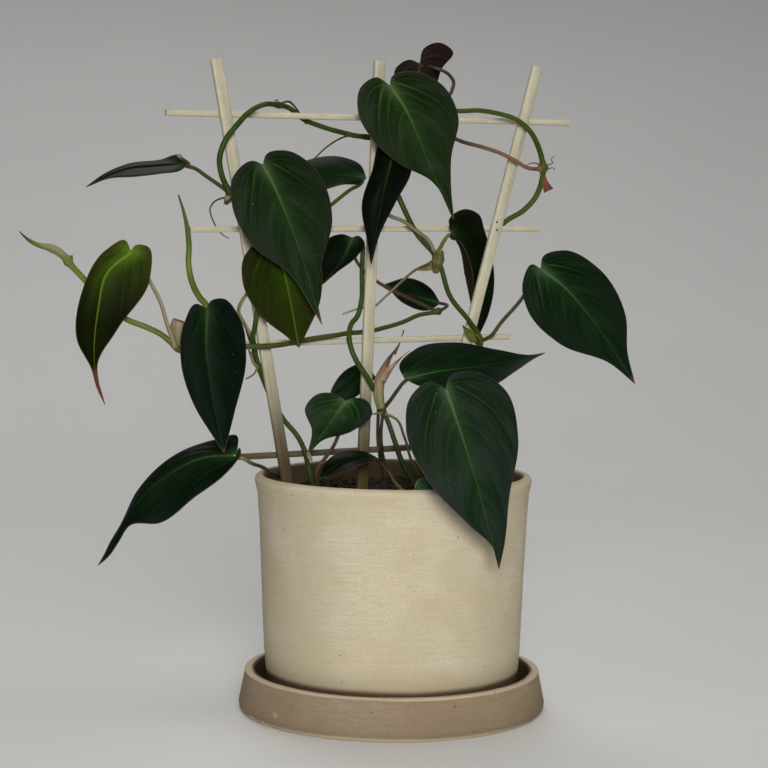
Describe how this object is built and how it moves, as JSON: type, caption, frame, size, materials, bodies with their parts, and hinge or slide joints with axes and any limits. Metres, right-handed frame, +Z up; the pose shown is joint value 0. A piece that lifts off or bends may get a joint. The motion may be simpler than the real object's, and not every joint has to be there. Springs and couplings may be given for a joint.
{
  "type": "potted velvet leaf philodendron",
  "caption": "Climbing plant with velvet heart-shaped leaves on a small wooden fan trellis, in a clay pot that stands on a low saucer.",
  "frame": {"origin": "centre of the saucer's flat underside, on the surface that the plant stands on", "axes": "+Z up along the pot's axis; the picture looks along +Y, so -Y is the front and +X its right"},
  "size_m": [0.3314, 0.1778, 0.365],
  "materials": {
    "pot_clay": "matt fired clay",
    "saucer_clay": "matt fired clay",
    "potting_soil": "crumbly",
    "trellis_wood": "raw, planed",
    "stem_green": "smooth",
    "leaf_green": "velvet",
    "leaf_olive_green": "velvet"
  },
  "bodies": {
    "root": {"pot": "pot_clay", "saucer": "saucer_clay", "soil": "potting_soil", "upright_left": "trellis_wood", "upright_middle": "trellis_wood", "upright_right": "trellis_wood", "crossbar_1": "trellis_wood", "crossbar_2": "trellis_wood", "crossbar_3": "trellis_wood", "crossbar_4": "trellis_wood", "vine_right": "stem_green", "vine_middle": "stem_green", "vine_low": "stem_green", "petiole_small": "stem_green", "petiole_low": "stem_green", "petiole_over_rim": "stem_green", "petiole_bottom_left": "stem_green", "petiole_back_low": "stem_green", "petiole_young": "stem_green", "leaf_top": "leaf_green", "leaf_upper_left": "leaf_green", "leaf_olive": "leaf_olive_green", "leaf_narrow": "leaf_green", "leaf_back_left": "leaf_green", "leaf_behind": "leaf_green", "leaf_folded": "leaf_green", "leaf_right": "leaf_green", "leaf_flat": "leaf_green", "leaf_over_rim": "leaf_green", "leaf_small": "leaf_green", "leaf_low": "leaf_green", "leaf_bottom_left": "leaf_green", "leaf_left": "leaf_green", "leaf_far_left": "leaf_olive_green", "leaf_edge_on": "leaf_green", "leaf_back_top": "leaf_green", "leaf_back_right": "leaf_green", "leaf_back_low": "leaf_green", "leaf_young": "leaf_green"}
  },
  "joints": []
}
